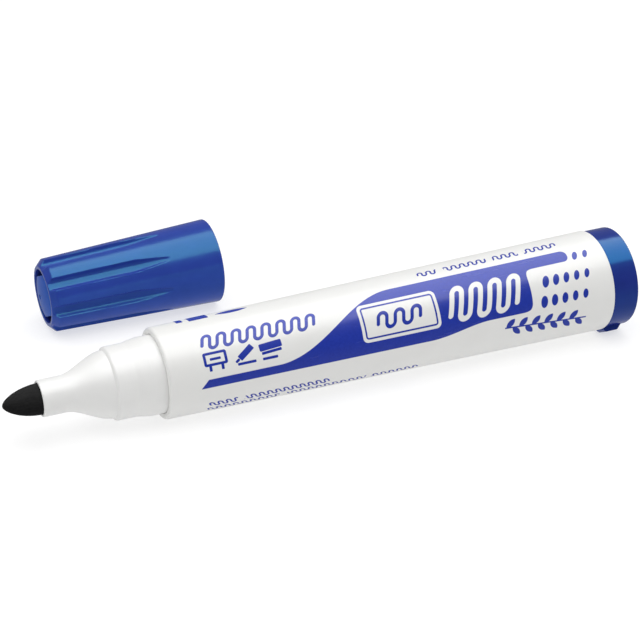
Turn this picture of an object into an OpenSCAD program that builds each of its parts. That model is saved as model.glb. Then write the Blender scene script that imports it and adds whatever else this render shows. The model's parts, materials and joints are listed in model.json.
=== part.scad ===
// Felt tip marker for whiteboards, shown uncapped.
// The marker lies on its side along X with the nib towards -X.
// Its cap lies beside it, closed end towards -X.
// The table is the plane z = 0 and all sizes are in millimetres.

/* [Barrel] */
// Length of the printed barrel, front rim to tail rim
barrel_length = 86.5; // [75:0.5:110]
// Outer diameter of the barrel at its tail rim
barrel_tail_d = 19; // [18.5:0.1:22]
// Outer diameter of the barrel at its front rim
barrel_front_d = 16.4; // [16.2:0.1:18]
// Thickness of the barrel wall
barrel_wall = 1.2; // [1:0.1:1.2]

/* [Nose] */
// Length of the nose that shows in front of the barrel
nose_length = 20.9; // [20:0.1:23]
// Diameter of the spigot and of the rear cap seat
spigot_d = 14; // [13.8:0.1:14]
// Length of the spigot inside the barrel
spigot_length = 11; // [9:0.5:13]
// Diameter of the front cap seat
cap_seat_d = 13.1; // [12.9:0.1:13.3]
// Outer diameter of the nib holder
holder_d = 6.5; // [6.4:0.1:6.7]

/* [Nib and ink] */
// Diameter of the fibre nib
nib_d = 5.5; // [5.2:0.1:5.5]
// Length of nib that shows in front of the holder
nib_exposed = 6.5; // [5.5:0.1:7]
// Diameter of the thin shank that feeds the nib
shank_d = 4; // [3:0.1:4.2]
// Diameter of the ink reservoir without its film
reservoir_d = 12; // [11:0.1:12]
// Length of the ink reservoir
reservoir_length = 78; // [60:1:78]

/* [Tail plug] */
// Length of the coloured band behind the barrel
band_length = 5.2; // [4:0.1:7]
// Diameter of the coloured band
band_d = 18.6; // [18:0.1:19]
// Angle of the anti-roll lug from straight down
lug_angle = 29.5; // [28:0.5:32]
// Width of the anti-roll lug round the band
lug_width = 2.8; // [2.2:0.1:3.2]

/* [Cap] */
// Length of the cap
cap_length = 33.7; // [33.5:0.1:38]
// Outer diameter of the cap at its mouth
cap_mouth_d = 16.3; // [16.2:0.1:17]
// Outer diameter that the cap tapers to at its closed end
cap_end_d = 13.96; // [13.9:0.01:14.4]
// Inner diameter of the cap's mouth
cap_bore_d = 14.4; // [14.4:0.05:14.5]
// Number of grip flutes round the cap
flute_count = 8; // [6:1:9]
// Length of a flute from the closed end
flute_length = 23.4; // [16:0.1:24]

/* [Layout] */
// Distance from the marker's axis to the cap's axis
cap_offset = 39.1; // [25:0.1:60]
// Distance from the barrel's tail rim forward to the cap's mouth
cap_setback = 61.7; // [40:0.1:85]

/* [Hidden] */

$fn = 96;

// Small lengths shared by several pieces
eps = 0.01;         // overlap that keeps cutting faces apart
play = 0.05;        // radial gap between pieces that fit together
edge_round = 0.3;   // rounding of thin moulded edges

// Stations along the marker's axis, measured from the tip of the nib
nose_front = nib_exposed;
barrel_front = nose_front + nose_length;
barrel_rear = barrel_front + barrel_length;
marker_length = barrel_rear + band_length;

// Radii
tail_r = barrel_tail_d / 2;
front_r = barrel_front_d / 2;
bore_rear_r = tail_r - barrel_wall;
spigot_r = spigot_d / 2;
seat_r = cap_seat_d / 2;
holder_r = holder_d / 2;
nib_r = nib_d / 2;
shank_r = shank_d / 2;
reservoir_r = reservoir_d / 2;
band_r = band_d / 2;
cap_mouth_r = cap_mouth_d / 2;
cap_end_r = cap_end_d / 2;
cap_bore_r = cap_bore_d / 2;

// The barrel lies on its taper, so the marker's axis climbs towards the tail
marker_tilt = atan((tail_r - front_r) / barrel_length);
// The cap lies on its taper too, and its axis climbs towards the mouth
cap_tilt = atan((cap_mouth_r - cap_end_r) / cap_length);

// The origin is at the middle of the whole outline, on the table
tail_reach = band_length * cos(marker_tilt) + band_r * sin(marker_tilt);
nib_reach = barrel_rear * cos(marker_tilt);
seam_x = (nib_reach - tail_reach) / 2;
marker_y = -(cap_offset + cap_mouth_r - tail_r) / 2;
marker_axis_z = tail_r * cos(marker_tilt);
cap_mouth_x = seam_x - cap_setback;
cap_y = marker_y + cap_offset;
cap_axis_z = cap_mouth_r * cos(cap_tilt);

// Barrel
rim_round = 0.9;                     // rounding of the front rim

// Nose
flare_start = nose_front + 4;        // where the nib holder starts to widen
flare_length = 8.1;
flare_steps = 12;
seat_front = flare_start + flare_length;
seat_rear = seat_front + 3.9;        // where the front seat starts to widen
shoulder = seat_rear + 2.5;          // where the rear seat starts
nose_step = 0.55;                    // step down in front of the front seat
snap_height = 0.2;                   // height of the snap ring on the spigot
snap_width = 1.2;
snap_back = 3;                       // from the spigot's rear end
reservoir_front = barrel_front - 4;  // front face of the reservoir
spigot_bore_r = reservoir_r + 0.35;
holder_rib_count = 6;
holder_rib_width = 0.6;
holder_rib_length = 2.8;

// Nib: an ogive whose fullness is set by two exponents
nib_nose_power = 1.8;
nib_side_power = 0.6;
nib_steps = 16;
nib_body_end = nose_front + 10;      // end of the full-width body
nib_pierce = 7;                      // depth of the shank in the reservoir

// Reservoir film
film_wall = 0.2;
film_overhang = 0.6;

// Tail plug
plug_wall = 1.1;
plug_end_wall = 1.6;
skirt_length = 10;
plug_rib_count = 4;
plug_rib_width = 1;
plug_rib_length = 8;
lug_length = 3.8;
lug_chamfer = 0.9;
lug_root = 1.2;                      // depth of the lug inside the band
lug_tip_r = (marker_axis_z - lug_width / 2 * sin(lug_angle)) / cos(lug_angle);
gate_r = 0.9;
gate_depth = 0.3;

// Cap
cap_chamfer_length = 1.15;
cap_chamfer_drop = 1.15;
cap_recess_r = 5.2;                  // opening at the closed end
cap_bore_depth = 10.5;               // end of the wide bore
cap_neck_r = 6.25;                   // bore behind the wide part
flute_cutter_r = 1.35;
flute_depth = 1;
flute_runout = 6.5;                  // length of the narrowing end of a flute
flute_tip_r = 0.55;
flute_phase = -3;                    // angle of the first flute from straight up
cup_lip_start = 5.4;                 // the cup's lip, from the mouth of the cap
cup_lip_r = seat_r + play;
cup_seat_r = 7;                      // bore that holds the cup's lip
cup_step = 9.6;                      // end of the lip's wide part
cup_cone_end = 16;
vent_groove_width = 1.2;
vent_groove_depth = 0.2;
cup_tube_r = 4.4;
cup_tube_bore_r = 3.6;
cup_cavity_end = 30.4;
cup_disc_r = 4.85;
cup_disc_flat = 3.9;                 // half the width of the end disc across its flats
cup_crown = 0.6;                     // height of the domed end face
cup_rib_count = 4;
cup_rib_width = 0.8;
vent_phase = 27;                     // angle of the first vent from straight up
dimple_r = 0.45;
dimple_depth = 0.35;

white = [0.95, 0.95, 0.93];
blue = [0.12, 0.27, 0.62];
black = [0.06, 0.06, 0.06];
ink_blue = [0.1, 0.16, 0.45];
film_white = [0.85, 0.9, 0.95];

// Corners of a quarter round from the end face (radius r - size) to the side (radius r)
function quarter_round(r, station, size, end) = [for (a = [0 : 15 : 90])
    let (turn = end > 0 ? 90 - a : a)
    [r - size + size * sin(turn), station - end * size * (1 - cos(turn))]];

// Outer radius of the barrel at a station
function barrel_r(station) =
    front_r + (tail_r - front_r) * (station - barrel_front) / barrel_length;

// Outer radius of the cap at a distance from its mouth
function cap_r(depth) = cap_mouth_r + (cap_end_r - cap_mouth_r) * depth / cap_length;

// Radius of the bore behind the cap's wide part, at a distance from its mouth
function cap_neck(depth) =
    cap_neck_r
    + (cap_recess_r - cap_neck_r) * (depth - cap_bore_depth) / (cap_length - cap_bore_depth);

// Radius of the nose's flare at a fraction of its length
function flare(t) = holder_r + (seat_r - nose_step - holder_r) * t * t * (3 - 2 * t);

// Radius of the nib's ogive at a fraction of its exposed length
function nib_outline(t) = nib_r * pow(1 - pow(1 - t, nib_nose_power), nib_side_power);

// Puts a piece drawn along +Z, nib tip at zero, onto the marker's axis
module on_marker() {
    translate([seam_x, marker_y, marker_axis_z])
        rotate([0, 90 - marker_tilt, 0])
            translate([0, 0, -barrel_rear])
                children();
}

// Puts a piece drawn along +Z, mouth at zero, onto the cap's axis
module on_cap() {
    translate([cap_mouth_x, cap_y, cap_axis_z])
        rotate([0, -90 - cap_tilt, 0])
            children();
}

// Solid of revolution from a list of [radius, station] corners
module turned(corners) {
    rotate_extrude() polygon(corners);
}

// Ring of ribs that reach from one radius to another
module rib_ring(count, width, r_in, r_out, start, length) {
    for (i = [0 : count - 1])
        rotate([0, 0, i * 360 / count])
            translate([r_in, -width / 2, start])
                cube([r_out - r_in, width, length]);
}

module barrel() {
    color(white) on_marker() difference() {
        turned(concat(
            [[0, barrel_front]],
            quarter_round(barrel_r(barrel_front + rim_round), barrel_front, rim_round, -1),
            [[tail_r, barrel_rear], [0, barrel_rear]]
        ));
        // Bore for the nose's spigot, with the groove for its snap ring
        translate([0, 0, barrel_front - 1])
            cylinder(r = spigot_r + play, h = spigot_length + 2);
        translate([0, 0, barrel_front + spigot_length - snap_back - play])
            cylinder(r = spigot_r + snap_height + play, h = snap_width + 2 * play);
        // Hollow for the reservoir, then the bore for the tail plug
        turned([
            [0, barrel_front + spigot_length],
            [spigot_r + play, barrel_front + spigot_length],
            [bore_rear_r, barrel_rear - skirt_length - 2],
            [bore_rear_r, barrel_rear + 1],
            [0, barrel_rear + 1]
        ]);
    }
}

module nose() {
    color(white) on_marker() {
        difference() {
            turned(concat(
                [[0, nose_front]],
                quarter_round(holder_r, nose_front, edge_round, -1),
                [for (i = [0 : flare_steps])
                    [flare(i / flare_steps), flare_start + flare_length * i / flare_steps]],
                [
                    [seat_r, seat_front + nose_step / 3],
                    [seat_r, seat_rear],
                    [spigot_r, shoulder],
                    [spigot_r, barrel_front + spigot_length - edge_round],
                    [spigot_r - edge_round, barrel_front + spigot_length],
                    [0, barrel_front + spigot_length]
                ]
            ));
            // Channel for the nib
            translate([0, 0, nose_front - 1])
                cylinder(r = nib_r + play, h = nib_body_end - nose_front + 2);
            translate([0, 0, nose_front])
                cylinder(r = shank_r + 0.4, h = reservoir_front - nose_front);
            // Air space behind the cone, then the pocket for the reservoir
            turned([
                [0, nib_body_end + 1.5],
                [shank_r + 0.4, nib_body_end + 1.5],
                [spigot_bore_r - 1.4, seat_front + 1],
                [spigot_bore_r - 1.4, reservoir_front],
                [spigot_bore_r, reservoir_front],
                [spigot_bore_r, barrel_front + spigot_length + 1],
                [0, barrel_front + spigot_length + 1]
            ]);
        }
        // Snap ring that holds the nose in the barrel
        translate([0, 0, barrel_front + spigot_length - snap_back])
            difference() {
                cylinder(r = spigot_r + snap_height, h = snap_width);
                translate([0, 0, -1])
                    cylinder(r = spigot_r - edge_round, h = snap_width + 2);
            }
        // Ribs that carry the nib's thin shank
        rib_ring(holder_rib_count, holder_rib_width, shank_r + play,
            spigot_bore_r - 1.2, reservoir_front - holder_rib_length - play, holder_rib_length);
    }
}

module nib() {
    tip = [for (i = [0 : nib_steps])
        [nib_outline(i / nib_steps), nib_exposed * i / nib_steps]];
    color(black) on_marker() turned(concat(tip, [
        [nib_r, nib_body_end - 0.8],
        [nib_r - 0.5, nib_body_end],
        [shank_r, nib_body_end],
        [shank_r, reservoir_front + nib_pierce - 1],
        [shank_r - 0.6, reservoir_front + nib_pierce],
        [0, reservoir_front + nib_pierce]
    ]));
}

module reservoir_core() {
    color(ink_blue) on_marker() difference() {
        translate([0, 0, reservoir_front + play])
            cylinder(r = reservoir_r, h = reservoir_length);
        translate([0, 0, reservoir_front - 1])
            cylinder(r = shank_r + play, h = nib_pierce + 1 + 2 * play);
    }
}

module reservoir_film() {
    color(film_white) on_marker() difference() {
        translate([0, 0, reservoir_front + film_overhang])
            cylinder(r = reservoir_r + play + film_wall, h = reservoir_length);
        translate([0, 0, reservoir_front - 1])
            cylinder(r = reservoir_r + play, h = reservoir_length + 4);
    }
}

module tail_plug() {
    skirt_r = bore_rear_r - play;
    skirt_bore_r = skirt_r - plug_wall;
    color(blue) on_marker() {
        difference() {
            turned(concat(
                [
                    [0, barrel_rear - skirt_length],
                    [skirt_r - edge_round, barrel_rear - skirt_length],
                    [skirt_r, barrel_rear - skirt_length + edge_round],
                    [skirt_r, barrel_rear + play],
                    [band_r, barrel_rear + play]
                ],
                quarter_round(band_r, marker_length, edge_round, 1),
                [[0, marker_length]]
            ));
            translate([0, 0, barrel_rear - skirt_length - 1])
                cylinder(r = skirt_bore_r, h = skirt_length + band_length + 1 - plug_end_wall);
            translate([0, 0, marker_length - gate_depth])
                cylinder(r = gate_r, h = 1);
        }
        // Ribs that stop the reservoir from sliding back
        rib_ring(plug_rib_count, plug_rib_width, reservoir_r - 2, skirt_bore_r + play,
            marker_length - plug_end_wall - plug_rib_length, plug_rib_length + play);
        // Lug that keeps the marker from rolling
        rotate([0, 0, -lug_angle])
            translate([0, lug_width / 2, barrel_rear + play])
                rotate([90, 0, 0])
                    linear_extrude(lug_width) polygon([
                        [band_r - lug_root, 0],
                        [lug_tip_r - lug_chamfer / 2, 0],
                        [lug_tip_r, lug_chamfer / 2],
                        [lug_tip_r, lug_length - lug_chamfer],
                        [lug_tip_r - lug_chamfer, lug_length],
                        [band_r - lug_root, lug_length]
                    ]);
    }
}

// One grip flute: a round groove along the taper that narrows towards the mouth
module flute_cutter() {
    start = cap_length - flute_length;
    groove = start + flute_runout;
    slope = atan((cap_mouth_r - cap_end_r) / cap_length);
    centre_r = cap_r(groove) - flute_depth + flute_cutter_r;
    translate([centre_r, 0, groove]) rotate([0, -slope, 0]) {
        cylinder(r = flute_cutter_r, h = flute_length);
        translate([0, 0, -flute_runout])
            cylinder(r1 = flute_tip_r, r2 = flute_cutter_r, h = flute_runout + eps);
    }
}

module cap_shell() {
    color(blue) on_cap() difference() {
        turned([
            [0, 0],
            [cap_mouth_r - edge_round, 0],
            [cap_r(edge_round), edge_round],
            [cap_r(cap_length - cap_chamfer_length), cap_length - cap_chamfer_length],
            [cap_end_r - cap_chamfer_drop, cap_length],
            [0, cap_length]
        ]);
        // Mouth bore
        translate([0, 0, -1])
            cylinder(r = cap_bore_r, h = cup_lip_start + 1);
        // Seat of the inner cup, then the narrow bore that vents to the closed end
        turned([
            [0, cup_lip_start - eps],
            [cup_seat_r, cup_lip_start - eps],
            [cup_seat_r, cap_bore_depth],
            [cap_neck_r, cap_bore_depth + 0.8],
            [cap_recess_r, cap_length],
            [cap_recess_r, cap_length + 1],
            [0, cap_length + 1]
        ]);
        for (i = [0 : flute_count - 1])
            rotate([0, 0, flute_phase + i * 360 / flute_count])
                flute_cutter();
    }
}

module cap_inner_cup() {
    lip_out = cup_seat_r - play;
    disc_start = cap_length - 3;
    color(blue) on_cap() {
        difference() {
            turned([
                [0, cup_lip_start],
                [lip_out - edge_round, cup_lip_start],
                [lip_out, cup_lip_start + edge_round],
                [lip_out, cup_step + 0.6],
                [cap_neck_r - 0.25, cap_bore_depth + 1],
                [cup_tube_r, cup_cone_end + 0.5],
                [cup_tube_r, disc_start],
                [0, disc_start]
            ]);
            // Sealing bore, the cone that clears the nose, and the nib's chamber
            turned([
                [0, cup_lip_start - 1],
                [cup_lip_r, cup_lip_start - 1],
                [cup_lip_r, cup_step - 0.2],
                [cup_lip_r - 0.5, cup_step + 0.3],
                [cup_tube_bore_r, cup_cone_end],
                [cup_tube_bore_r, cup_cavity_end - 0.6],
                [cup_tube_bore_r - 0.6, cup_cavity_end],
                [0, cup_cavity_end]
            ]);
            // Grooves in the lip that let air past the cup
            rotate([0, 0, vent_phase])
                rib_ring(cup_rib_count, vent_groove_width, lip_out - vent_groove_depth,
                    lip_out + 1, cup_lip_start - 1, cap_bore_depth);
        }
        // Domed end disc with a flat on each side for the air vents
        difference() {
            turned([
                [0, cup_cavity_end],
                [cup_disc_r, cup_cavity_end],
                [cup_disc_r, cap_length - 0.5],
                [cup_disc_r - 0.25, cap_length - 0.2],
                [cup_disc_r * 0.6, cap_length + cup_crown * 0.6],
                [cup_disc_r * 0.3, cap_length + cup_crown * 0.92],
                [0, cap_length + cup_crown]
            ]);
            for (side = [0, 180])
                rotate([0, 0, vent_phase + side])
                    translate([cup_disc_flat, -cup_disc_r, cup_cavity_end - 1])
                        cube([cup_disc_r, 2 * cup_disc_r, 6]);
            translate([0, 0, cap_length + cup_crown - dimple_depth])
                cylinder(r = dimple_r, h = 1);
        }
        // Ribs that centre the tube in the shell
        intersection() {
            rib_ring(cup_rib_count, cup_rib_width, cup_tube_r - 0.2, cap_neck_r,
                cup_cone_end, disc_start - cup_cone_end);
            turned([
                [0, cap_bore_depth],
                [cap_neck(cap_bore_depth) - play, cap_bore_depth],
                [cap_neck(cap_length) - play, cap_length],
                [0, cap_length]
            ]);
        }
    }
}

barrel();
nose();
nib();
reservoir_core();
reservoir_film();
tail_plug();
cap_shell();
cap_inner_cup();
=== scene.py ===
import json
import math

import bmesh
import bpy
import numpy as np
from mathutils import Matrix, Vector, noise


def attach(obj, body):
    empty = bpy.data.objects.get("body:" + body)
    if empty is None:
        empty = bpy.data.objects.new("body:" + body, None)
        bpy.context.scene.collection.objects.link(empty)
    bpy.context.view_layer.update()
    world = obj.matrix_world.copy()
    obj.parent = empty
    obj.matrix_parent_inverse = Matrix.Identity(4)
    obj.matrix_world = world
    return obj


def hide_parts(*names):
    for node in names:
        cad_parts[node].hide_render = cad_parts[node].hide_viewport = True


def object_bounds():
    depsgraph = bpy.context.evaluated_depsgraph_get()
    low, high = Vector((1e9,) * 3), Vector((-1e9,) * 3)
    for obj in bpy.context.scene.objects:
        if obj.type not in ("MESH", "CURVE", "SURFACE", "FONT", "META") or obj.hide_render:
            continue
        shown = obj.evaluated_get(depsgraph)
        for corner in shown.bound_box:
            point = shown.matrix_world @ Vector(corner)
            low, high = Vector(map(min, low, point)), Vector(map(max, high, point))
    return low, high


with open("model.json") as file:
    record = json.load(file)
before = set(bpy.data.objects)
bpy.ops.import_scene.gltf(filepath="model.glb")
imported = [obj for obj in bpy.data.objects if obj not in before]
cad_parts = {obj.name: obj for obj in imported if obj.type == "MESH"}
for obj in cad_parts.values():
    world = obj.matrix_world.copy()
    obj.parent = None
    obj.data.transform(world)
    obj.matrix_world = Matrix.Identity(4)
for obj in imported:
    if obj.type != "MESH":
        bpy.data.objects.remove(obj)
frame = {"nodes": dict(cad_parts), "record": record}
cad_low, cad_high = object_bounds()

MM = 0.001

# ---------------------------------------------------------------- camera
# The view axis passes a little in front of the middle of the whole outline.
VIEW_AZIMUTH = -23.2435
VIEW_ELEVATION = 27.4106
VIEW_DISTANCE = 362.915 * MM
VIEW_OFFSET = Vector((1.0875, -13.9243, 0.0805)) * MM
LENS_MM = 112.5
SENSOR_MM = 36

camera_data = bpy.data.cameras.new("studio_camera")
camera_data.lens = LENS_MM
camera_data.sensor_width = SENSOR_MM
camera_data.clip_start = 0.01
camera_data.clip_end = 50
camera = bpy.data.objects.new("studio_camera", camera_data)
bpy.context.scene.collection.objects.link(camera)
azimuth, elevation = math.radians(VIEW_AZIMUTH), math.radians(VIEW_ELEVATION)
view_back = Vector((
    math.sin(azimuth) * math.cos(elevation),
    -math.cos(azimuth) * math.cos(elevation),
    math.sin(elevation),
))
view_target = (cad_low + cad_high) / 2 + VIEW_OFFSET
camera.location = view_target + view_back * VIEW_DISTANCE
camera.rotation_mode = "QUATERNION"
camera.rotation_quaternion = (-view_back).to_track_quat("-Z", "Y")
bpy.context.scene.camera = camera

# ---------------------------------------------------------------- sizes, in mm
# Stations along the marker, from the tip of the nib
NIB_EXPOSED = 6.5
NIB_BODY_END = 16.5
NIB_R = 2.75
SHANK_R = 2.0
SHANK_END = 30.4
HOLDER_R = 3.25
FLARE_START = 10.5
SEAT_FRONT = 18.6
SEAT_REAR = 22.5
SHOULDER = 25.0
SEAT_R = 6.55
SEAT_STEP = 0.55
SPIGOT_R = 7.0
BARREL_FRONT = 27.4
BARREL_REAR = 113.9
MARKER_END = 119.1
FRONT_R = 8.2
TAIL_R = 9.5
BARREL_WALL = 1.2
RIM_ROUND = 0.9
SPIGOT_REAR = 38.4
RESERVOIR_FRONT = 23.4
BAND_R = 9.3
PLUG_BORE_R = 7.15
SKIRT_LENGTH = 10.0
PLAY = 0.05

# Depths into the cap, from its mouth
CAP_LENGTH = 33.7
CAP_MOUTH_R = 8.15
CAP_END_R = 6.98
CHAMFER_LENGTH = 1.15
CHAMFER_DROP = 1.15
RECESS_R = 5.2
CAP_BORE_R = 7.2
CUP_LIP_START = 5.4
CUP_SEAT_R = 7.0
CAP_BORE_DEPTH = 10.5
CAP_NECK_R = 6.25
FLUTE_COUNT = 8
FLUTE_PHASE = -3.0
FLUTE_START = 10.7
FLUTE_RUNOUT = 6.1
FLUTE_CUTTER_R = 1.35
FLUTE_DEPTH = 1.0
FLUTE_TIP_R = 0.55
FLUTE_LIP = 0.14
FLUTE_SQUARENESS = 5
VENT_PHASE = 27.0
VENT_FLAT = 3.9


def cap_r(depth):
    return CAP_MOUTH_R + (CAP_END_R - CAP_MOUTH_R) * depth / CAP_LENGTH


# ---------------------------------------------------------------- axes from the frame
mounts = {m["name"]: m for m in frame["record"]["mounts"]}


def axis_frame(point, direction, station):
    """A matrix whose Z runs along direction; point lies at that station, in mm, on it."""
    z = Vector(direction).normalized()
    y = Vector((0, 1, 0))
    x = y.cross(z)
    origin = Vector(point) - z * station * MM
    matrix = Matrix((x, y, z)).transposed().to_4x4()
    matrix.translation = origin
    return matrix


seat = mounts["cap_seat"]
seat_mid = (SEAT_FRONT + SEAT_STEP / 3 + SEAT_REAR) / 2
marker_frame = axis_frame(seat["pos_m"], [-a for a in seat["axis"]], seat_mid)
mouth = mounts["cap_mouth"]
cap_frame = axis_frame(mouth["pos_m"], [-a for a in mouth["axis"]], CUP_LIP_START / 2)


# ---------------------------------------------------------------- mesh building
ARC_STEP = 11.0
LONG_STEP = 1.1


def section(corners, closed=False, step=LONG_STEP):
    """A dense outline through (radius, station, rounding) corners, with rounded corners.
    A short edge next to each rounding keeps the shading of the long faces flat."""
    count = len(corners)
    pts = [np.array(c[:2], float) for c in corners]
    runs = []
    for i, corner in enumerate(corners):
        p = pts[i]
        rounding = corner[2] if len(corner) > 2 else 0
        inner = closed or 0 < i < count - 1
        if not inner or rounding <= 0:
            runs.append([p])
            continue
        a, b = pts[i - 1] - p, pts[(i + 1) % count] - p
        la, lb = np.linalg.norm(a), np.linalg.norm(b)
        a, b = a / la, b / lb
        turn = math.pi - math.acos(max(-1.0, min(1.0, float(a @ b))))
        cut = min(rounding * math.tan(turn / 2), 0.48 * la, 0.48 * lb)
        radius = cut / math.tan(turn / 2)
        start, end = p + a * cut, p + b * cut
        centre = p + (a + b) / np.linalg.norm(a + b) * math.hypot(cut, radius)
        steps = max(2, math.ceil(math.degrees(turn) / ARC_STEP))
        u, v = start - centre, end - centre
        arc = []
        for k in range(steps + 1):
            f = k / steps
            s = math.sin(turn)
            w = (math.sin((1 - f) * turn) * u + math.sin(f * turn) * v) / s
            arc.append(centre + w)
        runs.append(arc)
    out = []
    spans = count if closed else count - 1
    for i in range(spans):
        here, there = runs[i], runs[(i + 1) % count]
        out.extend(here)
        a, b = here[-1], there[0]
        length = np.linalg.norm(b - a)
        guard = 0.12
        marks = []
        if length > 4 * guard:
            lo = guard if len(here) > 1 else 0
            hi = guard if len(there) > 1 else 0
            n = max(1, math.ceil((length - lo - hi) / step))
            marks = [lo + (length - lo - hi) * k / n for k in range(n + 1)]
            marks = [m for m in marks if 1e-6 < m < length - 1e-6]
        out.extend(a + (b - a) * m / length for m in marks)
    if not closed:
        out.extend(runs[-1])
    return np.array(out)


def evenly(count):
    return np.arange(count) * 2 * math.pi / count


def lathe(name, outline, turns, place, shape=None, closed=True, sharp=38):
    """A closed skin turned from an outline about the Z axis of place. turns are the angles
    round it, and shape(x, y, z, radius, angle) may move the points. Poles become single
    points."""
    radius, station = outline[:, 0], outline[:, 1]
    rows, cols = len(outline), len(turns)
    r = np.repeat(radius[:, None], cols, 1)
    z = np.repeat(station[:, None], cols, 1)
    t = np.repeat(np.asarray(turns)[None, :], rows, 0)
    x, y = r * np.cos(t), r * np.sin(t)
    if shape is not None:
        x, y, z = shape(x, y, z, r, t)
    turn, shift = np.array(place.to_3x3()), np.array(place.translation)
    spots = np.stack([x, y, z], axis=-1) * MM @ turn.T + shift
    mesh_data = bmesh.new()
    grid = []
    for i in range(rows):
        if radius[i] < 1e-6:
            grid.append([mesh_data.verts.new(spots[i, 0])] * cols)
        else:
            grid.append([mesh_data.verts.new(spot) for spot in spots[i]])
    spans = rows if closed else rows - 1
    for i in range(spans):
        a, b = grid[i], grid[(i + 1) % rows]
        for j in range(cols):
            k = (j + 1) % cols
            ring = []
            for v in (a[j], a[k], b[k], b[j]):
                if v not in ring:
                    ring.append(v)
            if len(ring) > 2:
                mesh_data.faces.new(ring)
    bmesh.ops.recalc_face_normals(mesh_data, faces=mesh_data.faces)
    mesh = bpy.data.meshes.new(name)
    mesh_data.to_mesh(mesh)
    mesh_data.free()
    mesh.polygons.foreach_set("use_smooth", [True] * len(mesh.polygons))
    mesh.set_sharp_from_angle(angle=math.radians(sharp))
    piece = bpy.data.objects.new(name, mesh)
    bpy.context.scene.collection.objects.link(piece)
    return piece


def smooth_min(a, b, reach):
    h = np.clip(0.5 + 0.5 * (b - a) / reach, 0, 1)
    return b * (1 - h) + a * h - reach * h * (1 - h)


def smooth_step(t):
    t = np.clip(t, 0, 1)
    return t * t * (3 - 2 * t)


# ---------------------------------------------------------------- marker pieces
def barrel_r(station):
    return FRONT_R + (TAIL_R - FRONT_R) * (station - BARREL_FRONT) / (BARREL_REAR - BARREL_FRONT)


BARREL_BORE_R = TAIL_R - BARREL_WALL
SNAP_START = SPIGOT_REAR - 3
SNAP_WIDTH = 1.2
SNAP_HEIGHT = 0.2
barrel_outline = section([
    (SPIGOT_R + PLAY, BARREL_FRONT, 0.25),
    (barrel_r(BARREL_FRONT), BARREL_FRONT, RIM_ROUND),
    (TAIL_R, BARREL_REAR, 0.15),
    (BARREL_BORE_R, BARREL_REAR, 0.1),
    (BARREL_BORE_R, BARREL_REAR - SKIRT_LENGTH - 2, 0.5),
    (SPIGOT_R + PLAY, SPIGOT_REAR, 0.1),
    (SPIGOT_R + PLAY, SNAP_START + SNAP_WIDTH + PLAY),
    (SPIGOT_R + SNAP_HEIGHT + PLAY, SNAP_START + SNAP_WIDTH + PLAY),
    (SPIGOT_R + SNAP_HEIGHT + PLAY, SNAP_START - PLAY),
    (SPIGOT_R + PLAY, SNAP_START - PLAY),
], closed=True)
barrel = lathe("marker_barrel", barrel_outline, evenly(192), marker_frame)

NOSE_BORE_R = NIB_R + PLAY
POCKET_R = 6.35         # pocket for the reservoir's front end
CHAMBER_R = 4.95        # hollow behind the flare
SHANK_BORE_R = SHANK_R + 0.4


def flare_r(t):
    return HOLDER_R + (SEAT_R - SEAT_STEP - HOLDER_R) * smooth_step(t)


FLARE_STEPS = 28
flare = [
    (float(flare_r(k / FLARE_STEPS)), FLARE_START + (SEAT_FRONT - FLARE_START) * k / FLARE_STEPS)
    for k in range(FLARE_STEPS + 1)
]
nose_outline = section([
    (NOSE_BORE_R, NIB_EXPOSED, 0.12),
    (HOLDER_R, NIB_EXPOSED, 0.3),
    *flare,
    (SEAT_R, SEAT_FRONT + 0.4, 0.5),
    (SEAT_R, SEAT_REAR, 0.8),
    (SPIGOT_R, SHOULDER, 0.8),
    (SPIGOT_R, SNAP_START),
    (SPIGOT_R + SNAP_HEIGHT, SNAP_START + 0.1),
    (SPIGOT_R + SNAP_HEIGHT, SNAP_START + SNAP_WIDTH - 0.1),
    (SPIGOT_R, SNAP_START + SNAP_WIDTH),
    (SPIGOT_R, SPIGOT_REAR, 0.3),
    (POCKET_R, SPIGOT_REAR, 0.1),
    (POCKET_R, RESERVOIR_FRONT, 0.1),
    (CHAMBER_R, RESERVOIR_FRONT, 0.1),
    (CHAMBER_R, SEAT_FRONT + 1, 0.6),
    (SHANK_BORE_R, NIB_BODY_END + 1.5, 0.3),
    (SHANK_BORE_R, NIB_BODY_END + PLAY, 0.1),
    (NOSE_BORE_R, NIB_BODY_END + PLAY, 0.1),
], closed=True)
nose = lathe("marker_nose", nose_outline, evenly(160), marker_frame)

# The nib's bullet tip: a rounded end that swells along a power curve
NIB_STEPS = 56
NIB_SWELL, NIB_BLUNT = 1.8, 0.6
nib_tip = [
    (
        NIB_R * (1 - (1 - k / NIB_STEPS) ** NIB_SWELL) ** NIB_BLUNT,
        NIB_EXPOSED * (k / NIB_STEPS),
    )
    for k in range(NIB_STEPS + 1)
]
nib_outline = section([
    *nib_tip,
    (NIB_R, NIB_BODY_END - 0.8, 0.2),
    (NIB_R - 0.5, NIB_BODY_END, 0.2),
    (SHANK_R, NIB_BODY_END, 0.1),
    (SHANK_R, SHANK_END - 1, 0.3),
    (SHANK_R - 0.6, SHANK_END, 0.1),
    (0, SHANK_END),
])


def felt(x, y, z, r, t):
    """Pressed fibres: fine lengthwise furrows on the part of the nib that shows."""
    show = np.clip((NIB_EXPOSED - 0.3 - z) / 0.6, 0, 1) * np.clip(r / 0.6, 0, 1)
    push = np.zeros_like(r)
    for i in range(r.shape[0]):
        if show[i, 0] <= 0:
            continue
        for j in range(r.shape[1]):
            p = Vector((math.cos(t[i, j]) * 9, math.sin(t[i, j]) * 9, z[i, j] * 0.9))
            q = Vector((x[i, j] * 3.1, y[i, j] * 3.1, z[i, j] * 2.2 + 40))
            push[i, j] = 0.022 * noise.noise(p) + 0.018 * noise.noise(q)
    k = 1 + show * push / np.maximum(r, 0.3)
    return x * k, y * k, z


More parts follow.
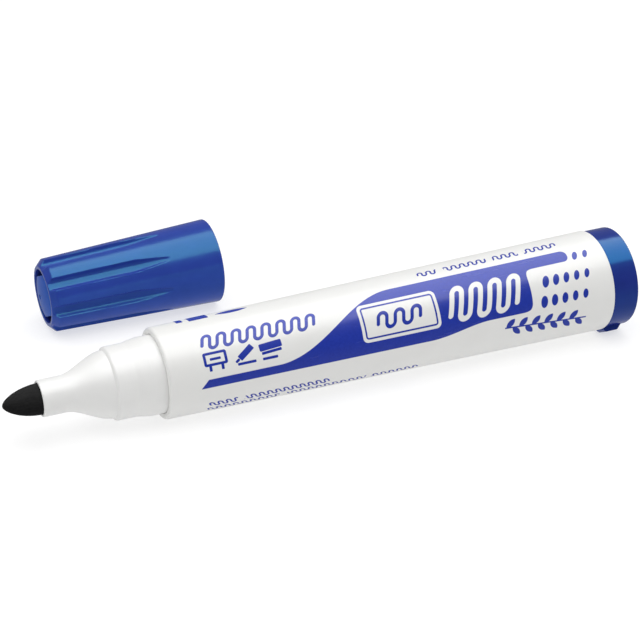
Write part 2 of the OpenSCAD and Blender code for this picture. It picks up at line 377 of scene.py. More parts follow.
nib = lathe(
    "marker_nib", nib_outline, evenly(144), marker_frame, shape=felt, closed=False, sharp=50
)

# The tail plug, with its anti-roll lug on the band
LUG_ANGLE = -29.5
LUG_WIDTH = 2.8
LUG_LENGTH = 3.8
LUG_CHAMFER = 0.9
tail_height = (marker_frame @ Vector((0, 0, BARREL_REAR * MM))).z / MM
lug_tip_r = (
    (tail_height - LUG_WIDTH / 2 * math.sin(math.radians(-LUG_ANGLE)))
    / math.cos(math.radians(LUG_ANGLE))
)
SKIRT_R = BARREL_BORE_R - PLAY
PLUG_END_WALL = 1.6
GATE_R = 1.0            # the moulding mark in the middle of the end face
GATE_DEPTH = 0.3
plug_outline = section([
    (0, MARKER_END - PLUG_END_WALL),
    (PLUG_BORE_R, MARKER_END - PLUG_END_WALL, 0.4),
    (PLUG_BORE_R, BARREL_REAR - SKIRT_LENGTH, 0.1),
    (SKIRT_R, BARREL_REAR - SKIRT_LENGTH, 0.3),
    (SKIRT_R, BARREL_REAR + PLAY, 0.05),
    (BAND_R, BARREL_REAR + PLAY, 0.12),
    (BAND_R, MARKER_END, 0.35),
    (GATE_R + 0.15, MARKER_END, 0.1),
    (GATE_R - 0.15, MARKER_END - GATE_DEPTH, 0.1),
    (0, MARKER_END - GATE_DEPTH),
], step=0.28)


LUG_EDGE = math.degrees(math.asin(LUG_WIDTH / 2 / BAND_R))
lug_marks = np.array([
    -LUG_EDGE - 0.9, -LUG_EDGE - 0.45, -LUG_EDGE - 0.02, -LUG_EDGE + 0.02, -LUG_EDGE + 0.5,
    -6, -4, -2, 0, 2, 4, 6,
    LUG_EDGE - 0.5, LUG_EDGE - 0.02, LUG_EDGE + 0.02, LUG_EDGE + 0.45, LUG_EDGE + 0.9,
])
rest_marks = np.linspace(LUG_EDGE + 2.5, 360 - LUG_EDGE - 2.5, 168)
plug_turns = np.radians(np.sort((np.concatenate([lug_marks, rest_marks]) + LUG_ANGLE) % 360))


def lug_profile(z):
    """Top of the lug above the axis, at a station."""
    u = z - (BARREL_REAR + PLAY)
    front = lug_tip_r - np.clip(LUG_CHAMFER / 2 - u, 0, None)
    back = lug_tip_r - np.clip(u - (LUG_LENGTH - LUG_CHAMFER), 0, None)
    return np.minimum(front, back)


def with_lug(x, y, z, r, t):
    """Pulls the band out into the anti-roll lug, whose two sides are parallel."""
    a = t - math.radians(LUG_ANGLE)
    a = (a + math.pi) % (2 * math.pi) - math.pi
    u = z - (BARREL_REAR + PLAY)
    on = (
        (np.abs(np.degrees(a)) < LUG_EDGE)
        & (u > -1e-6) & (u < LUG_LENGTH + 0.35) & (r > BAND_R - 0.13)
    )
    height = lug_profile(z)
    across = r * np.sin(a)
    up = np.where(on, np.maximum(height, r * np.cos(a)), r * np.cos(a))
    side = np.clip(across, -LUG_WIDTH / 2 + 0.02, LUG_WIDTH / 2 - 0.02)
    across = np.where(on, side, across)
    c, s = math.cos(math.radians(LUG_ANGLE)), math.sin(math.radians(LUG_ANGLE))
    return up * c - across * s, up * s + across * c, z


tail_plug = lathe(
    "marker_tail_plug", plug_outline, plug_turns, marker_frame,
    shape=with_lug, closed=False, sharp=35,
)

# ---------------------------------------------------------------- cap pieces
flute_turns = []
FLUTE_EDGE = 11.5
PITCH = 360 / FLUTE_COUNT
for k in range(FLUTE_COUNT):
    middle = FLUTE_PHASE + k * PITCH
    flute_turns.extend(middle + np.linspace(-FLUTE_EDGE, FLUTE_EDGE, 47))
    flute_turns.extend(middle + np.linspace(FLUTE_EDGE, PITCH - FLUTE_EDGE, 9)[1:-1])
flute_turns = np.radians(np.sort(np.array(flute_turns) % 360))


def fluted(x, y, z, r, t):
    """Cuts the grip flutes into the shell's outside, with softly rounded lips."""
    a = np.degrees(t) - FLUTE_PHASE
    a = np.radians((a + PITCH / 2) % PITCH - PITCH / 2)
    wall = cap_r(z)
    cutter = FLUTE_TIP_R + (FLUTE_CUTTER_R - FLUTE_TIP_R) * np.clip(
        (z - FLUTE_START) / FLUTE_RUNOUT, 0, 1
    )
    rise = FLUTE_CUTTER_R - FLUTE_DEPTH
    half = np.sqrt(cutter ** 2 - rise ** 2)
    across = np.hypot(wall * np.sin(a), np.clip(FLUTE_START - z, 0, None)) / half
    depth = (cutter - rise) * (1 - np.minimum(across, 1.3) ** FLUTE_SQUARENESS)
    floor_r = wall - depth
    new_r = smooth_min(r, floor_r / np.cos(a), FLUTE_LIP)
    return new_r * np.cos(t), new_r * np.sin(t), z


shell_outline = section([
    (CAP_BORE_R, 0, 0.15),
    (CAP_MOUTH_R, 0, 0.3),
    (cap_r(CAP_LENGTH - CHAMFER_LENGTH), CAP_LENGTH - CHAMFER_LENGTH, 0.35),
    (CAP_END_R - CHAMFER_DROP, CAP_LENGTH, 0.2),
    (RECESS_R, CAP_LENGTH, 0.12),
    (CAP_NECK_R, CAP_BORE_DEPTH + 0.8, 0.3),
    (CUP_SEAT_R, CAP_BORE_DEPTH, 0.1),
    (CUP_SEAT_R, CUP_LIP_START, 0.05),
    (CAP_BORE_R, CUP_LIP_START, 0.05),
], closed=True, step=0.42)
cap_shell = lathe(
    "cap_fluted_shell", shell_outline, flute_turns, cap_frame, shape=fluted, sharp=40
)

CUP_LIP_R = SEAT_R + PLAY
CUP_OUT_R = CUP_SEAT_R - PLAY
TUBE_R = 4.4
TUBE_BORE_R = 3.6
CAVITY_END = 30.4
DISC_R = 4.85
CROWN = 0.6
DIMPLE_EDGE = 0.62
DOME_STEPS = 9
dome = []
for k in range(DOME_STEPS):
    f = 1 - k / DOME_STEPS
    dome.append((DISC_R * 0.93 * f, CAP_LENGTH - 0.12 + (CROWN + 0.12) * (1 - f ** 2)))
cup_outline = section([
    (0, CAVITY_END),
    (TUBE_BORE_R, CAVITY_END, 0.6),
    (TUBE_BORE_R, 16, 1.0),
    (CUP_LIP_R - 0.5, 9.9, 0.4),
    (CUP_LIP_R, 9.4, 0.4),
    (CUP_LIP_R, CUP_LIP_START, 0.18),
    (CUP_OUT_R, CUP_LIP_START, 0.25),
    (CUP_OUT_R, 10.2, 0.2),
    (CAP_NECK_R - 0.25, CAP_BORE_DEPTH + 1, 0.3),
    (TUBE_R, 16.5, 1.0),
    (TUBE_R, CAP_LENGTH - 3.05, 0.05),
    (DISC_R, CAP_LENGTH - 3.0, 0.1),
    (DISC_R, CAP_LENGTH - 0.35, 0.25),
    *[d for d in dome if d[0] > DIMPLE_EDGE],
    (0.5, CAP_LENGTH + CROWN - 0.01, 0.08),
    (0.42, CAP_LENGTH + CROWN - 0.35, 0.08),
    (0, CAP_LENGTH + CROWN - 0.35),
], step=0.8)


def with_flats(x, y, z, r, t):
    """Takes two flats off the end disc, which leave the air vents open."""
    c, s = math.cos(math.radians(VENT_PHASE)), math.sin(math.radians(VENT_PHASE))
    u, v = x * c + y * s, -x * s + y * c
    disc = (z > CAP_LENGTH - 3.03) & (r > 0.6)
    flat = np.clip(u, -VENT_FLAT, VENT_FLAT)
    u = np.where(disc, flat, u)
    return u * c - v * s, u * s + v * c, z


cap_cup = lathe(
    "cap_inner_seal", cup_outline, evenly(144), cap_frame, shape=with_flats, closed=False
)


# ---------------------------------------------------------------- material building
class Num:
    """A number that shader nodes work out. Arithmetic on it adds Math nodes."""

    def __init__(self, graph, socket):
        self.graph, self.socket = graph, socket

    def __add__(self, other):
        return self.graph.math("ADD", self, other)

    def __sub__(self, other):
        return self.graph.math("SUBTRACT", self, other)

    def __rsub__(self, other):
        return self.graph.math("SUBTRACT", other, self)

    def __mul__(self, other):
        return self.graph.math("MULTIPLY", self, other)

    def __truediv__(self, other):
        return self.graph.math("DIVIDE", self, other)

    def __abs__(self):
        return self.graph.math("ABSOLUTE", self)

    __radd__ = __add__
    __rmul__ = __mul__


class Graph:
    """One material's nodes. Its place is in mm, in the frame of the piece's own axis."""

    def __init__(self, name, own_frame=Matrix.Identity(4)):
        self.material = bpy.data.materials.new(name)
        self.material.use_nodes = True
        self.tree = self.material.node_tree
        self.tree.nodes.clear()
        self.shader = self.add("ShaderNodeBsdfPrincipled")
        output = self.add("ShaderNodeOutputMaterial")
        self.tree.links.new(self.shader.outputs[0], output.inputs[0])
        coordinates = self.add("ShaderNodeTexCoord")
        turned = self.add("ShaderNodeMapping", vector_type="POINT")
        inverse = own_frame.inverted()
        self.put(turned.inputs["Vector"], coordinates.outputs["Object"])
        self.put(turned.inputs["Location"], inverse.translation / MM)
        self.put(turned.inputs["Rotation"], inverse.to_euler())
        self.put(turned.inputs["Scale"], (1 / MM, 1 / MM, 1 / MM))
        self.place = turned.outputs[0]

    def add(self, kind, **settings):
        node = self.tree.nodes.new(kind)
        for key, value in settings.items():
            setattr(node, key, value)
        return node

    def put(self, socket, value):
        if isinstance(value, Num):
            value = value.socket
        if isinstance(value, bpy.types.NodeSocket):
            self.tree.links.new(value, socket)
        else:
            socket.default_value = value

    def math(self, operation, *values, clamp=False):
        node = self.add("ShaderNodeMath", operation=operation, use_clamp=clamp)
        for socket, value in zip(node.inputs, values):
            self.put(socket, value)
        return Num(self, node.outputs[0])

    def vector(self, operation, *values):
        node = self.add("ShaderNodeVectorMath", operation=operation)
        for socket, value in zip(node.inputs, values):
            self.put(socket, value)
        if operation in ("LENGTH", "DISTANCE", "DOT_PRODUCT"):
            return Num(self, node.outputs["Value"])
        return node.outputs[0]

    def split(self, vector):
        node = self.add("ShaderNodeSeparateXYZ")
        self.put(node.inputs[0], vector)
        return [Num(self, s) for s in node.outputs]

    def join(self, x, y, z):
        node = self.add("ShaderNodeCombineXYZ")
        for socket, value in zip(node.inputs, (x, y, z)):
            self.put(socket, value)
        return node.outputs[0]

    def lowest(self, *values):
        out = values[0]
        for v in values[1:]:
            out = self.math("MINIMUM", out, v)
        return out

    def highest(self, *values):
        out = values[0]
        for v in values[1:]:
            out = self.math("MAXIMUM", out, v)
        return out

    def noise(self, scale, detail=2.0, rough=0.5, stretch=(1, 1, 1), shift=0.0):
        """Noise from 0 to 1 whose patches are about 1/scale mm across."""
        spot = self.vector("MULTIPLY", self.place, stretch)
        if shift:
            spot = self.vector("ADD", spot, (shift, shift * 0.7, -shift))
        node = self.add("ShaderNodeTexNoise")
        self.put(node.inputs["Vector"], spot)
        self.put(node.inputs["Scale"], scale)
        self.put(node.inputs["Detail"], detail)
        self.put(node.inputs["Roughness"], rough)
        return Num(self, node.outputs[0])

    def ramp(self, value, low, high, out_low, out_high):
        """value from low..high to out_low..out_high, held at the ends."""
        node = self.add("ShaderNodeMapRange", clamp=True)
        for socket, v in zip(node.inputs, (value, low, high, out_low, out_high)):
            self.put(socket, v)
        return Num(self, node.outputs[0])

    def blend(self, share, first, second):
        node = self.add("ShaderNodeMix", data_type="RGBA")
        self.put(node.inputs["Factor"], share)
        sockets = [s for s in node.inputs if s.type == "RGBA"]
        self.put(sockets[0], first)
        self.put(sockets[1], second)
        return [s for s in node.outputs if s.type == "RGBA"][0]

    def bump(self, height, distance):
        """Raises the surface by height times distance, in mm."""
        node = self.add("ShaderNodeBump")
        self.put(node.inputs["Height"], height)
        self.put(node.inputs["Distance"], distance * MM)
        self.put(node.inputs["Strength"], 1.0)
        self.put(self.shader.inputs["Normal"], node.outputs[0])

    def set(self, **values):
        names = {
            "colour": "Base Color",
            "roughness": "Roughness",
            "specular": "Specular IOR Level",
            "tint": "Specular Tint",
            "glow": "Emission Color",
            "glow_strength": "Emission Strength",
        }
        for key, value in values.items():
            self.put(self.shader.inputs[names[key]], value)


def shade(colour, factor):
    return tuple(c * factor for c in colour[:3]) + (1.0,)


# ---------------------------------------------------------------- label shapes
class Label(Graph):
    """The barrel's material. Shapes lie on the unrolled barrel: s runs back from the front
    rim and v runs down the near side from the top, both in mm."""

    ROLL_R = 8.85

    def __init__(self, name, own_frame):
        super().__init__(name, own_frame)
        x, y, z = self.split(self.place)
        self.s = z - BARREL_FRONT
        turn = self.math("ARCTAN2", y * -1.0, x * -1.0)
        self.v = turn * self.ROLL_R
        self.flat = self.join(self.s, self.v, 0.0)

    def turned(self, centre, degrees):
        node = self.add("ShaderNodeVectorRotate", rotation_type="Z_AXIS")
        self.put(node.inputs["Vector"], self.flat)
        self.put(node.inputs["Center"], (*centre, 0.0))
        self.put(node.inputs["Angle"], math.radians(degrees))
        return node.outputs[0]

    def disc(self, centre, radius):
        return self.vector("DISTANCE", self.flat, (*centre, 0.0)) - radius

    def box(self, centre, half, rounding=0.1, plane=None):
        q = self.vector("SUBTRACT", plane or self.flat, (*centre, 0.0))
        q = self.vector("ABSOLUTE", q)
        q = self.vector("SUBTRACT", q, (half[0] - rounding, half[1] - rounding, 0.0))
        q = self.vector("MAXIMUM", q, (0.0, 0.0, 0.0))
        return self.vector("LENGTH", q) - rounding

    def frame(self, centre, half, line, rounding=0.3):
        outer = self.box(centre, half, rounding)
        inner = self.box(centre, (half[0] - line, half[1] - line), max(rounding - line, 0.05))
        return self.highest(outer, inner * -1.0)

    def scribble(self, start, end, middle, height, turns, line, lean=0.0, rise=0.0, gaps=()):
        """A pen line of even thickness that runs up and down along s, in round turns.
        turns ends in a half, so both of its round ends point down. Its strokes lean by
        lean, and its middle moves by rise for each mm along s."""
        pitch = (end - start) / turns
        bend = pitch / 4
        reach = height - bend
        drop = self.v - ((self.s - start) * rise + middle)
        along = drop * lean + self.s
        upper = self.math("WRAP", along - (start + bend), -pitch / 2, pitch / 2)
        lower = self.math("WRAP", along - (start - bend), -pitch / 2, pitch / 2)
        over = self.lowest(drop + reach, 0.0)
        under = self.highest(drop - reach, 0.0)
        above = abs(self.vector("LENGTH", self.join(upper, over, 0.0)) - bend)
        below = abs(self.vector("LENGTH", self.join(lower, under, 0.0)) - bend)
        high = self.math("LESS_THAN", drop, 0.0)
        away = above * high + below * (1.0 - high)
        outside = self.between(start, end, along)
        body = self.highest(away - line / 2, outside - line / 2)
        tail = self.highest((outside + line / 2) * -1.0, reach - drop)
        cap = self.vector("LENGTH", self.join(outside, drop - reach, 0.0)) - line / 2
        body = self.lowest(self.highest(body, tail * -1.0), cap)
        for low, up in gaps:
            body = self.highest(body, self.between(low, up) * -1.0)
        return body

    def mask(self, distance, soft=0.05):
        return self.math("MULTIPLY_ADD", distance, -1 / soft, 0.5, clamp=True)

    def repeat(self, first, pitch):
        """s folded so that it is zero at first and at every pitch from there."""
        return self.math("WRAP", self.s - first, -pitch / 2, pitch / 2)

    def between(self, low, high, along=None):
        return abs((along or self.s) - (low + high) / 2) - (high - low) / 2


INK_BLUE = (0.0145, 0.036, 0.350, 1)
CAP_BLUE = (0.0240, 0.0480, 0.320, 1)
CAP_GLOSS = (0.135, 0.60, 0.50, 1)
SEAL_BLUE = (0.0180, 0.0780, 0.400, 1)
PLUG_BLUE = (0.0170, 0.0290, 0.2175, 1)
PLUG_GLOSS = (0.02, 0.50, 0.85, 1)
WHITE_PP = (0.80, 0.80, 0.785, 1)
SCUFF_DULLING = 0.06    # how much rougher the blue plastics are where they are scuffed


def barrel_material():
    g = Label("barrel_plastic_printed", marker_frame)
    s, v = g.s, g.v

    # The panel grows in a long curve out of a thin stripe. Its lower part ends first, and
    # its upper part runs on as a round-ended bar.
    stripe_top, panel_top, panel_bottom = 12.45, 2.65, 14.1
    rise = g.ramp(s, 20.0, 43.5, 0.0, 1.0)
    rise = rise * rise * (3.0 - rise * 2.0)
    top_edge = rise * (panel_top - stripe_top) + stripe_top
    fall = g.ramp(s, 49.0, 61.0, 0.0, 1.0)
    fall = fall * fall * (3.0 - fall * 2.0)
    bottom_edge = fall * -1.6 + panel_bottom
    start = 5.5 - s + (panel_bottom - v) * 0.9
    wide = g.highest(top_edge - v, start)
    wide = g.math("SMOOTH_MAX", wide, v - bottom_edge, 0.3)
    wide = g.math("SMOOTH_MAX", wide, s - 69.6, 2.6)
    bar = g.box((68.0, (panel_top + 5.0) / 2), (11.0, (5.0 - panel_top) / 2), 1.1)
    panel = g.highest(g.math("SMOOTH_MIN", wide, bar, 2.2), top_edge - v)

    # White marks on the panel: a framed board with a line drawn on it, then a pen stroke
    board_place = (43.6, 8.4)
    board = g.box(board_place, (7.6, 3.5), 1.0)
    board_frame = g.frame(board_place, (7.05, 2.95), 0.32, 0.6)
    board_line = g.scribble(39.4, 47.6, 8.45, 1.35, 2.5, 0.66, lean=0.25)
    stroke = g.scribble(53.8, 67.1, 8.4, 2.8, 3.5, 0.98, lean=0.32)
    panel = g.highest(panel, board * -1.0, stroke * -1.0)
    panel = g.lowest(panel, board_frame, board_line)

    # Rows of dots that get smaller towards the tail
    shapes = [panel]
    pitch = 2.13
    size = (s - 72.0) * -0.027 + 1.0
    dot_rows = ((80.4, 2, 4.25, 0.38), (72.95, 5, 7.85, 0.26), (71.95, 5, 11.3, 0.12))
    for first, count, middle, lean in dot_rows:
        drop = v - middle
        fold = g.math("WRAP", drop * lean + s - first, -pitch / 2, pitch / 2)
        reach = g.vector("LENGTH", g.join(fold / 0.70, drop / 1.06, 0.0))
        ends = g.between(first - pitch / 2, first + pitch * (count - 0.5), drop * lean + s)
        shapes.append(g.highest((reach - size) * 0.8, ends))

    # A thin pen line, and under it three pictograms: a board on legs, a pen and a wiper
    shapes.append(g.scribble(7.2, 27.8, 5.4, 1.3, 7.5, 0.62, lean=0.3, rise=0.02))
    shapes.append(g.lowest(
        g.frame((8.7, 8.75), (2.15, 1.3), 0.5, 0.4),
        g.box((7.6, 10.45), (0.26, 0.55), 0.1),
        g.box((9.8, 10.45), (0.26, 0.55), 0.1),
        g.box((8.7, 8.8), (1.0, 0.24), 0.15),
    ))
    pen_plane = g.turned((13.8, 9.2), 36)
    shapes.append(g.lowest(
        g.box((14.4, 9.2), (1.6, 0.58), 0.15, pen_plane),
        g.box((12.3, 9.2), (0.45, 0.25), 0.2, pen_plane),
        g.box((14.2, 10.75), (1.7, 0.25), 0.15),
    ))
    wipe_plane = g.turned((18.9, 9.0), 4)
    shapes.append(g.lowest(
        g.box((18.9, 8.55), (2.1, 0.68), 0.25, wipe_plane),
        g.box((18.9, 9.62), (1.85, 0.26), 0.1, wipe_plane),
        g.box((18.5, 10.75), (1.4, 0.25), 0.15),
    ))

    # Fine wavy rules where small print would be
    rule_gaps = ((54.0, 55.4), (64.0, 65.2), (70.4, 71.6))
    shapes.append(g.scribble(50.2, 78.2, 0.6, 0.58, 16.5, 0.34, 0.2, gaps=rule_gaps))
    short_gaps = ((12.4, 13.8),)
    shapes.append(g.scribble(7.4, 29.6, 18.6, 0.6, 14.5, 0.34, -0.5, gaps=short_gaps))
    long_gaps = ((20.6, 22.0), (37.2, 38.4))
    shapes.append(g.scribble(7.4, 47.4, 20.6, 0.6, 25.5, 0.34, -0.5, gaps=long_gaps))

    # A sprig with leaves on both sides
    drop = v - ((s - 63.4) * 0.067 + 14.7)
    shapes.append(g.highest(abs(drop) - 0.15, g.between(63.8, 80.6)))
    leaf_pitch, leaf_count, leaf_bow = 2.6, 6, 1.56
    for first, side in ((64.9, -1.0), (66.2, 1.0)):
        leaf = g.join(g.repeat(first, leaf_pitch), drop * side, 0.0)
        row_start = first - leaf_pitch / 2
        shapes.append(g.highest(
            g.vector("DISTANCE", leaf, (-0.7, 1.5, 0.0)) - leaf_bow,
            g.vector("DISTANCE", leaf, (0.7, 0.1, 0.0)) - leaf_bow,
            g.between(row_start, row_start + leaf_pitch * leaf_count),
        ))

    # The far side carries two bars, a leaf shape, and a framed panel of wavy rules
    shapes.append(g.box((5.4, -3.0), (0.6, 1.5), 0.2))
    shapes.append(g.box((8.8, -2.9), (1.8, 1.8), 0.2))
    shapes.append(g.highest(g.disc((15.0, 3.7), 6.3), g.disc((15.0, -7.3), 6.3)))
    far = -14.2
    shapes.append(g.frame((47.0, far), (30.0, 6.2), 0.9, 1.5))
    first_gaps = ((35.0, 37.0), (52.0, 54.0))
    shapes.append(g.scribble(21.0, 73.0, far - 2.4, 0.8, 24.5, 0.5, 0.3, gaps=first_gaps))
    second_gaps = ((40.0, 42.0),)
    shapes.append(g.scribble(21.0, 60.0, far + 2.4, 0.8, 18.5, 0.5, 0.3, gaps=second_gaps))
    ink = g.mask(g.lowest(*shapes))

    # Moulded white plastic, a little uneven, with screen-printed ink on it
    cloud = g.noise(0.16, 3)
    speck = g.noise(2.2, 4, 0.6)
    white = g.blend(
        g.ramp(cloud, 0.3, 0.7, 0.0, 1.0), shade(WHITE_PP, 0.985), shade(WHITE_PP, 1.01)
    )
    pigment = g.blend(
        g.ramp(speck, 0.35, 0.7, 0.0, 1.0), shade(INK_BLUE, 0.93), shade(INK_BLUE, 1.08)
    )
    g.set(colour=g.blend(ink, white, pigment))
    scuff = g.noise(0.9, 5, 0.62, (1.0, 1.0, 0.12), 17.0)
    dull = g.ramp(scuff, 0.5, 0.78, 0.0, 0.05)
    g.set(roughness=ink * -0.05 + 0.30 + dull, specular=0.34)
    grain = g.noise(3.2, 3)
    flow = g.noise(0.22, 2, 0.4, (1.0, 1.0, 0.5), 5.0)
    g.bump(grain * 0.10 + flow * 0.9 + ink * 0.5 + speck * ink * 0.12, 0.02)
    return g.material


def nose_material():
    g = Graph("nose_plastic_white", marker_frame)
    cloud = g.noise(0.3, 3)
    g.set(colour=g.blend(
        g.ramp(cloud, 0.3, 0.7, 0.0, 1.0), (0.795, 0.795, 0.785, 1), (0.815, 0.815, 0.805, 1)
    ))
    scuff = g.noise(1.4, 5, 0.6, (1.0, 1.0, 0.4), 9.0)
    g.set(roughness=g.ramp(scuff, 0.35, 0.75, 0.33, 0.42), specular=0.34)
    rings = g.noise(2.6, 1, 0.4, (0.05, 0.05, 1.0))
    grain = g.noise(3.5, 3)
    g.bump(grain * 0.12 + rings * 0.16, 0.02)
    return g.material


def nib_material():
    g = Graph("nib_felt_black", marker_frame)
    fibre = g.noise(3.4, 4, 0.65, (1.0, 1.0, 0.22))
    tuft = g.noise(1.2, 3, 0.5, (1, 1, 0.6), 3.0)
    soak = g.ramp(fibre * 0.7 + tuft * 0.3, 0.36, 0.68, 0.0, 1.0)
    g.set(colour=g.blend(soak, (0.0045, 0.0045, 0.0047, 1), (0.0110, 0.0110, 0.0114, 1)))
    g.set(roughness=g.ramp(tuft, 0.3, 0.7, 0.82, 0.96), specular=0.15)
    pores = g.add("ShaderNodeTexVoronoi", feature="F1")
    g.put(pores.inputs["Vector"], g.vector("MULTIPLY", g.place, (1.0, 1.0, 0.35)))
    g.put(pores.inputs["Scale"], 5.5)
    g.bump(fibre * 0.8 + Num(g, pores.outputs["Distance"]) * -0.5, 0.05)
    return g.material


def coloured_plastic(name, own_frame, colour, tint, rough, level=0.68):
    """Glossy pigmented plastic with faint flow marks, fine grain and light scuffs."""
    g = Graph(name, own_frame)
    cloud = g.noise(0.28, 4, 0.55)
    streak = g.noise(0.8, 3, 0.5, (1.0, 1.0, 0.15), 21.0)
    mottle = g.ramp(cloud * 0.65 + streak * 0.35, 0.35, 0.65, 0.0, 1.0)
    g.set(colour=g.blend(mottle, shade(colour, 0.94), shade(colour, 1.06)))
    scuff = g.noise(1.3, 6, 0.68, (1.0, 1.0, 0.2), 11.0)
    dull = g.ramp(scuff, 0.45, 0.8, rough, rough + SCUFF_DULLING)
    g.set(roughness=dull, specular=level, tint=tint)
    grain = g.noise(4.0, 3)
    flow = g.noise(0.3, 2, 0.4, (1.0, 1.0, 0.5), 7.0)
    g.bump(grain * 0.05 + flow * 0.75, 0.02)
    return g.material


def fibre_material():
    g = Graph("reservoir_fibre_inked", marker_frame)
    strand = g.noise(2.4, 4, 0.6, (1.0, 1.0, 0.03))
    soak = g.ramp(strand, 0.35, 0.65, 0, 1)
    g.set(colour=g.blend(soak, (0.02, 0.035, 0.16, 1), (0.05, 0.07, 0.24, 1)))
    g.set(roughness=g.ramp(strand, 0.3, 0.7, 0.75, 0.92), specular=0.3)
    g.bump(strand, 0.05)
    return g.material


def film_material():
    g = Graph("reservoir_wrap_film", marker_frame)
    crease = g.noise(0.5, 3, 0.5, (1.0, 1.0, 0.15))
    haze = g.ramp(crease, 0.3, 0.7, 0, 1)
    g.set(colour=g.blend(haze, (0.68, 0.72, 0.78, 1), (0.78, 0.81, 0.85, 1)))
    g.set(roughness=g.ramp(crease, 0.3, 0.7, 0.18, 0.32), specular=0.5)
    g.bump(crease, 0.03)
    return g.material


finish = {
    barrel: barrel_material(),
    nose: nose_material(),
    nib: nib_material(),
    tail_plug: coloured_plastic("plug_plastic_blue", marker_frame, PLUG_BLUE, PLUG_GLOSS, 0.17),
    cap_shell: coloured_plastic("cap_plastic_blue", cap_frame, CAP_BLUE, CAP_GLOSS, 0.20),
    cap_cup: coloured_plastic("cup_plastic_blue", cap_frame, SEAL_BLUE, CAP_GLOSS, 0.34, 0.2),
    frame["nodes"]["reservoir_core"]: fibre_material(),
    frame["nodes"]["reservoir_film"]: film_material(),
}
for piece, material in finish.items():
    piece.data.materials.clear()
    piece.data.materials.append(material)

for piece, body, node, slot in (
    (barrel, "marker", "barrel", "barrel_plastic"),
    (nose, "marker", "nose", "nose_plastic"),
    (nib, "marker", "nib", "nib_felt"),
    (tail_plug, "marker", "tail_plug", "plug_plastic"),
    (cap_shell, "cap", "cap_shell", "cap_plastic"),
    (cap_cup, "cap", "cap_inner_cup", "cup_plastic"),
):
    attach(piece, body)
    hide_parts(node)

# ---------------------------------------------------------------- studio
FLOOR_HALF = 3.0
floor_mesh = bpy.data.meshes.new("studio_floor")
floor_mesh.from_pydata(
    [(-FLOOR_HALF, -FLOOR_HALF, 0), (FLOOR_HALF, -FLOOR_HALF, 0),
     (FLOOR_HALF, FLOOR_HALF, 0), (-FLOOR_HALF, FLOOR_HALF, 0)],
    [], [(0, 1, 2, 3)],
)
floor = bpy.data.objects.new("studio_floor", floor_mesh)
bpy.context.scene.collection.objects.link(floor)
floor.location.z = cad_low.z
paper = Graph("studio_paper")
paper.set(roughness=0.9, specular=0.1, glow=(1, 1, 1, 1), glow_strength=0.645)
paper.set(colour=paper.blend(paper.noise(0.02, 2), (0.38, 0.38, 0.38, 1), (0.40, 0.40, 0.40, 1)))
floor_mesh.materials.append(paper.material)
floor.visible_glossy = False


def softbox(name, place, size, radiance, look_at=(0, 0, 0), diffuse=True, glossy=True):
    """A rectangular soft light of even radiance."""
    light = bpy.data.lights.new(name, "AREA")
    light.shape = "RECTANGLE"
    light.size, light.size_y = size
    light.energy = radiance * math.pi * size[0] * size[1]
    lamp = bpy.data.objects.new(name, light)
    bpy.context.scene.collection.objects.link(lamp)
    lamp.location = place
    lamp.rotation_mode = "QUATERNION"
    direction = Vector(look_at) - Vector(place)
    lamp.rotation_quaternion = direction.to_track_quat("-Z", "Y")
    lamp.visible_camera = False
    lamp.visible_diffuse = diffuse
    lamp.visible_glossy = glossy


# A large overhead softbox lights the object. A smaller, lower one shows in the gloss only.
KEY_X, KEY_Y, KEY_HEIGHT = 0.05, -0.05, 0.60
GLOSS_X, GLOSS_Y, GLOSS_HEIGHT = 0.085, -0.01975, 0.16
softbox(
    "overhead_key", (KEY_X, KEY_Y, KEY_HEIGHT), (1.0, 0.9), 1.38,
    look_at=(KEY_X, KEY_Y, 0), glossy=False,
)
softbox(
    "overhead_gloss", (GLOSS_X, GLOSS_Y, GLOSS_HEIGHT), (0.55, 0.1955), 4.5,
    look_at=(GLOSS_X, GLOSS_Y, 0), diffuse=False,
)

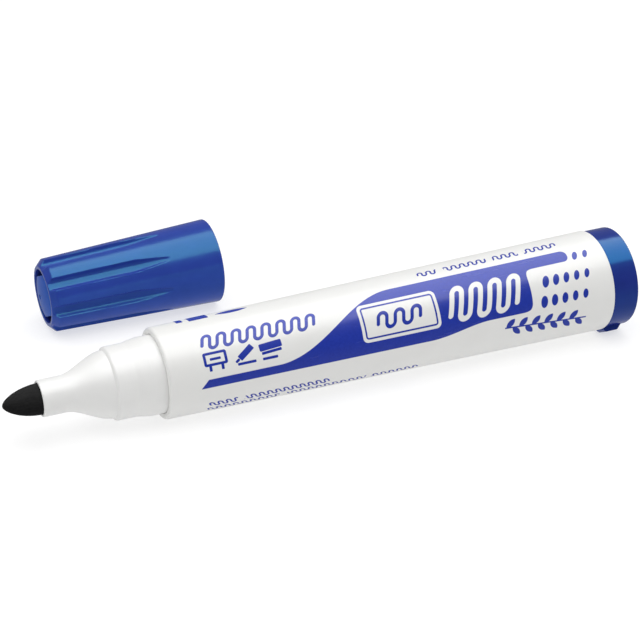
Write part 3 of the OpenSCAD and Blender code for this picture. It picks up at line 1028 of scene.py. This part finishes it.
world = bpy.data.worlds.new("studio_world")
world.use_nodes = True
tree = world.node_tree
tree.nodes.clear()
background = tree.nodes.new("ShaderNodeBackground")
world_out = tree.nodes.new("ShaderNodeOutputWorld")
tree.links.new(background.outputs[0], world_out.inputs[0])
direction = tree.nodes.new("ShaderNodeTexCoord")
parts = tree.nodes.new("ShaderNodeSeparateXYZ")
tree.links.new(direction.outputs["Generated"], parts.inputs[0])


def world_ramp(socket, low, high, out_low, out_high):
    node = tree.nodes.new("ShaderNodeMapRange")
    node.interpolation_type = "SMOOTHSTEP"
    tree.links.new(socket, node.inputs[0])
    for k, value in enumerate((low, high, out_low, out_high)):
        node.inputs[k + 1].default_value = value
    return node.outputs[0]


# The room is bright behind and dim towards the front, where the camera stands
toward_front = world_ramp(parts.outputs["Y"], -0.75, -0.15, 1.0, 0.0)
low_down = world_ramp(parts.outputs["Z"], 0.25, 0.75, 1.0, 0.0)
dim = tree.nodes.new("ShaderNodeMath")
dim.operation = "MULTIPLY"
tree.links.new(toward_front, dim.inputs[0])
tree.links.new(low_down, dim.inputs[1])
seen = tree.nodes.new("ShaderNodeLightPath")


def world_pick(ray, otherwise, then):
    node = tree.nodes.new("ShaderNodeMix")
    node.data_type = "FLOAT"
    tree.links.new(seen.outputs[ray], node.inputs[0])
    tree.links.new(otherwise, node.inputs[2])
    if isinstance(then, float):
        node.inputs[3].default_value = then
    else:
        tree.links.new(then, node.inputs[3])
    return node.outputs[0]


room = world_ramp(dim.outputs[0], 0.0, 1.0, 0.75, 0.16)
gloss_room = world_ramp(dim.outputs[0], 0.0, 1.0, 0.30, 0.12)
gloss_floor = world_ramp(parts.outputs["Z"], -0.5, 0.0, 0.35, 0.0)
gloss = tree.nodes.new("ShaderNodeMath")
gloss.operation = "ADD"
tree.links.new(gloss_room, gloss.inputs[0])
tree.links.new(gloss_floor, gloss.inputs[1])
level = world_pick("Is Camera Ray", world_pick("Is Glossy Ray", room, gloss.outputs[0]), 1.0)
tree.links.new(level, background.inputs["Strength"])
bpy.context.scene.world = world

settings = bpy.context.scene.view_settings
settings.view_transform = "Standard"
settings.look = "None"
settings.exposure = 0.0
settings.gamma = 1.0
